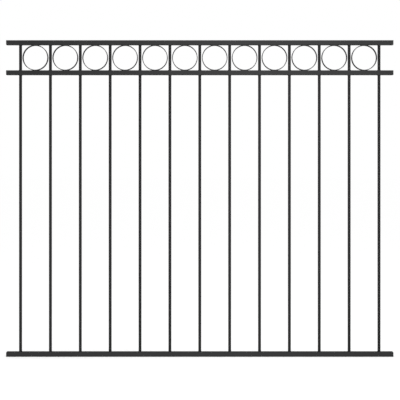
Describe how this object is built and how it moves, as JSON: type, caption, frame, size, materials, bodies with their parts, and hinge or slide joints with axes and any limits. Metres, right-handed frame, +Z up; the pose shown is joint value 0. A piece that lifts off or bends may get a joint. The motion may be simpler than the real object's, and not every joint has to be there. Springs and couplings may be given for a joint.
{
  "type": "steel fence panel",
  "caption": "Straight steel fence panel: square-tube rails with slim round upright bars and a frieze of rings between the two upper rails, bolted between posts.",
  "frame": {"origin": "middle of the bottom rail's flat underside", "axes": "+X along the panel, +Y through it from the front to the back, +Z up"},
  "size_m": [1.7, 0.02, 1.39],
  "materials": {
    "black_powder_coat": "matt black powder coat with a fine texture"
  },
  "bodies": {
    "root": {"bottom_rail": "black_powder_coat", "middle_rail": "black_powder_coat", "top_rail": "black_powder_coat", "bar_01": "black_powder_coat", "bar_02": "black_powder_coat", "bar_03": "black_powder_coat", "bar_04": "black_powder_coat", "bar_05": "black_powder_coat", "bar_06": "black_powder_coat", "bar_07": "black_powder_coat", "bar_08": "black_powder_coat", "bar_09": "black_powder_coat", "bar_10": "black_powder_coat", "bar_11": "black_powder_coat", "bar_12": "black_powder_coat", "bar_13": "black_powder_coat", "ring_01": "black_powder_coat", "ring_02": "black_powder_coat", "ring_03": "black_powder_coat", "ring_04": "black_powder_coat", "ring_05": "black_powder_coat", "ring_06": "black_powder_coat", "ring_07": "black_powder_coat", "ring_08": "black_powder_coat", "ring_09": "black_powder_coat", "ring_10": "black_powder_coat", "ring_11": "black_powder_coat", "ring_12": "black_powder_coat"}
  },
  "joints": []
}
